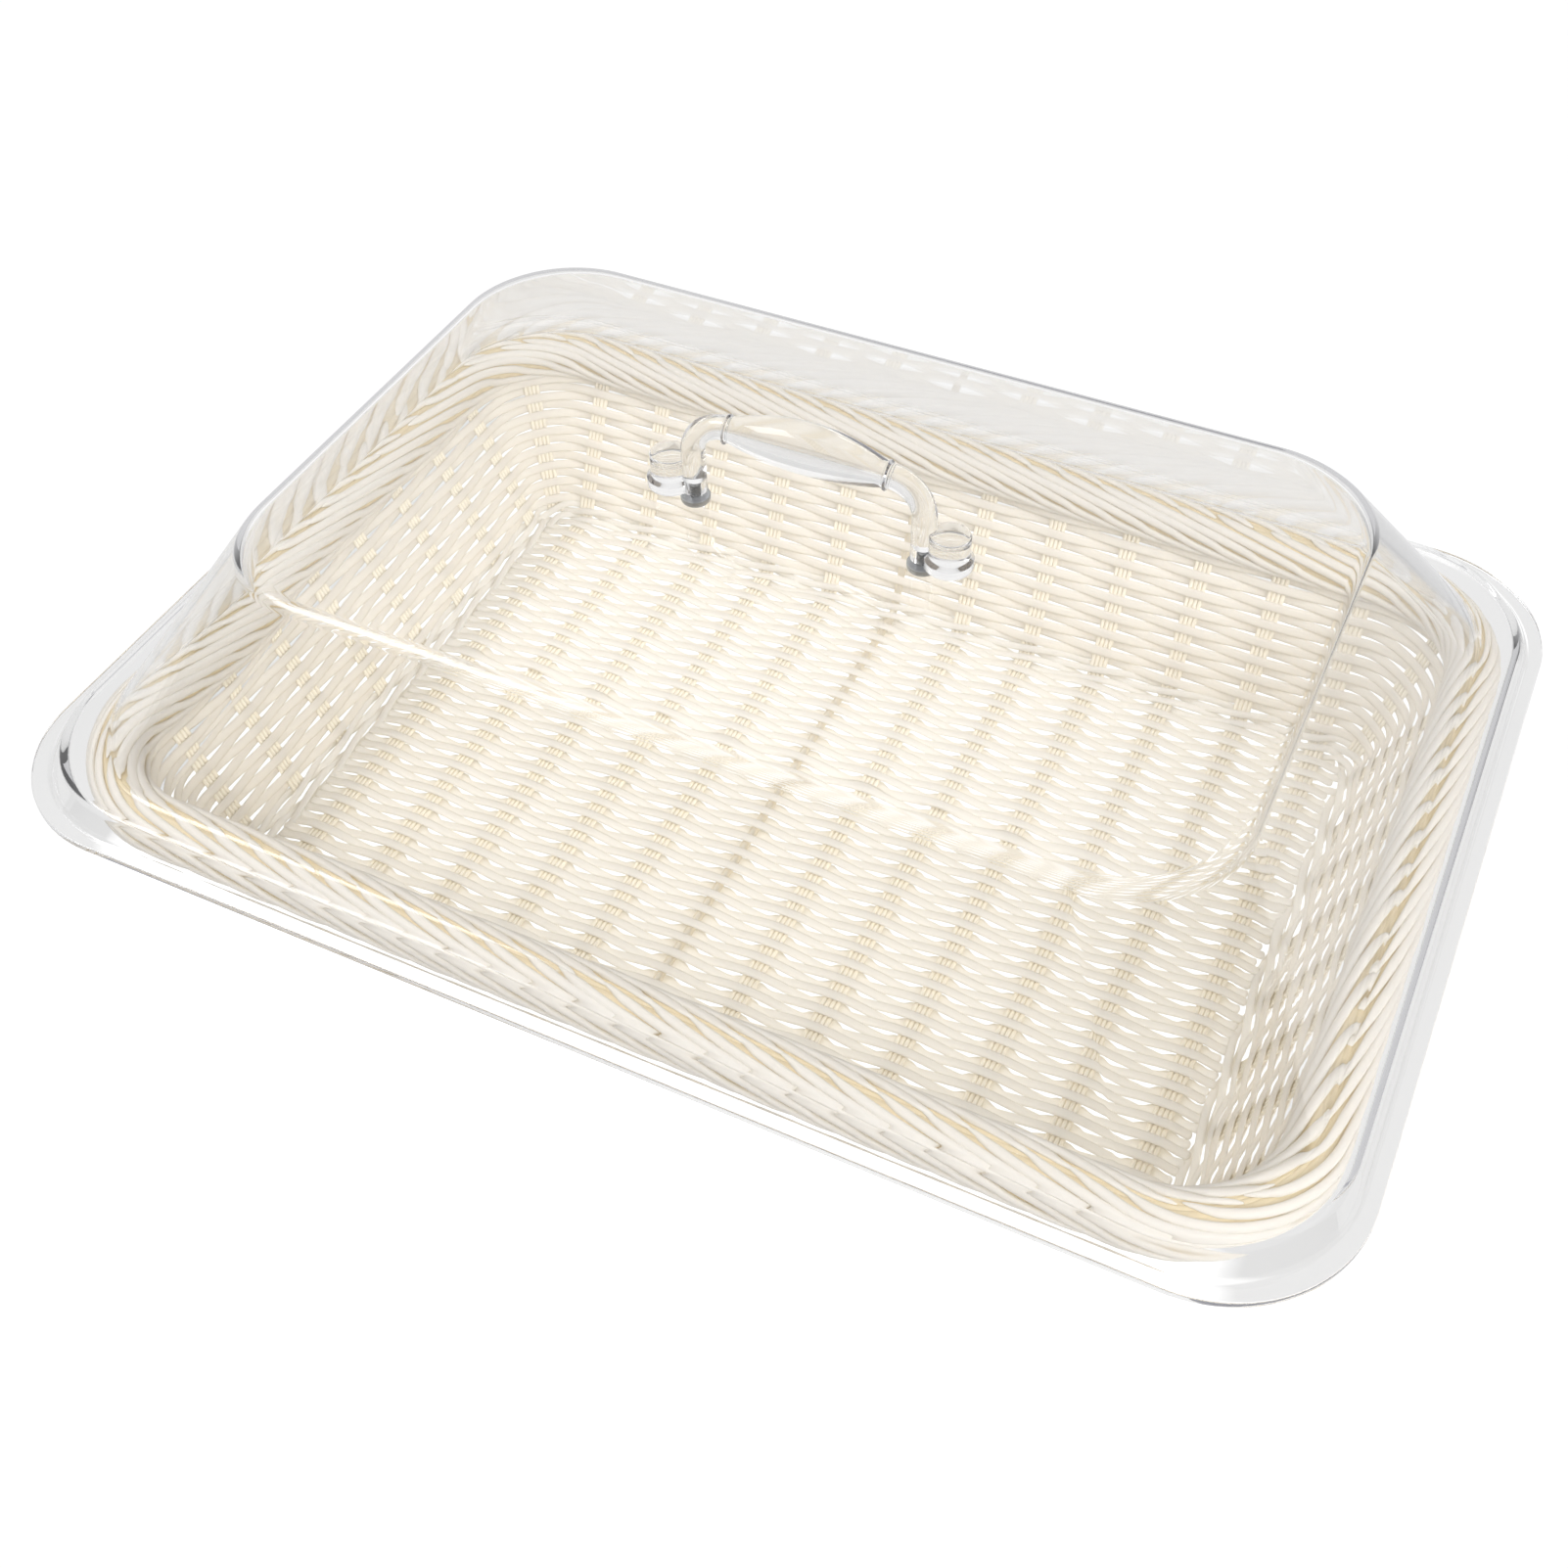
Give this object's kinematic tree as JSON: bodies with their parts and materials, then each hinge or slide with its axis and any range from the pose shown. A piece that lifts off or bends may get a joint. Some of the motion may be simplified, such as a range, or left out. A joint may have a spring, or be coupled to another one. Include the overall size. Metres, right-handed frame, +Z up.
{
  "type": "lidded bread basket",
  "caption": "Rectangular woven plastic bread basket with flared walls and a plaited rim, covered by a clear moulded lift-off lid with a bow handle.",
  "frame": {"origin": "on the table under the middle of the basket, at the bottom centre of the whole object's box", "axes": "+X along the long side, +Y from the front to the back, +Z up"},
  "size_m": [0.433, 0.3146, 0.1723],
  "materials": {
    "cream_strand": "satin extruded plastic strand, cream white",
    "straw_strand": "satin extruded plastic strand, pale straw yellow",
    "frame_wire": "plain drawn steel wire",
    "clear_plastic": "clear polished moulding",
    "screw_steel": "bright plated steel"
  },
  "bodies": {
    "basket": {"floor_weaver_01": "cream_strand", "floor_weaver_02": "cream_strand", "floor_weaver_03": "cream_strand", "floor_weaver_04": "cream_strand", "floor_weaver_05": "cream_strand", "floor_weaver_06": "cream_strand", "floor_weaver_07": "cream_strand", "floor_weaver_08": "cream_strand", "floor_weaver_09": "cream_strand", "floor_weaver_10": "cream_strand", "floor_weaver_11": "cream_strand", "floor_weaver_12": "cream_strand", "floor_weaver_13": "cream_strand", "floor_weaver_14": "cream_strand", "floor_weaver_15": "cream_strand", "cross_stake_01": "straw_strand", "cross_stake_02": "straw_strand", "cross_stake_03": "straw_strand", "cross_stake_04": "straw_strand", "cross_stake_05": "straw_strand", "cross_stake_07": "straw_strand", "cross_stake_08": "straw_strand", "cross_stake_09": "straw_strand", "cross_stake_10": "straw_strand", "cross_stake_11": "straw_strand", "cross_stake_12": "straw_strand", "right_stake_01": "straw_strand", "right_stake_02": "straw_strand", "right_stake_03": "straw_strand", "right_stake_04": "straw_strand", "right_stake_05": "straw_strand", "right_stake_06": "straw_strand", "right_stake_07": "straw_strand", "right_stake_08": "straw_strand", "left_stake_01": "straw_strand", "left_stake_02": "straw_strand", "left_stake_03": "straw_strand", "left_stake_04": "straw_strand", "left_stake_05": "straw_strand", "left_stake_06": "straw_strand", "left_stake_07": "straw_strand", "left_stake_08": "straw_strand", "corner_stake_01": "straw_strand", "corner_stake_02": "straw_strand", "corner_stake_03": "straw_strand", "corner_stake_04": "straw_strand", "base_wale": "cream_strand", "wall_hoop_01": "cream_strand", "wall_hoop_02": "cream_strand", "wall_hoop_03": "cream_strand", "wall_hoop_04": "cream_strand", "wall_hoop_05": "cream_strand", "rim_plait_outer": "cream_strand", "rim_plait_inner": "cream_strand", "wire_rib": "frame_wire", "rim_wire": "frame_wire"},
    "lid": {"lid_shell": "clear_plastic", "lid_handle": "clear_plastic", "handle_screw_left": "screw_steel", "handle_screw_right": "screw_steel"}
  },
  "joints": [
    {"name": "lid_lift", "type": "slide", "parent": "basket", "child": "lid", "axis": [0, 0, 1], "range_m": [0, 0.12]}
  ]
}
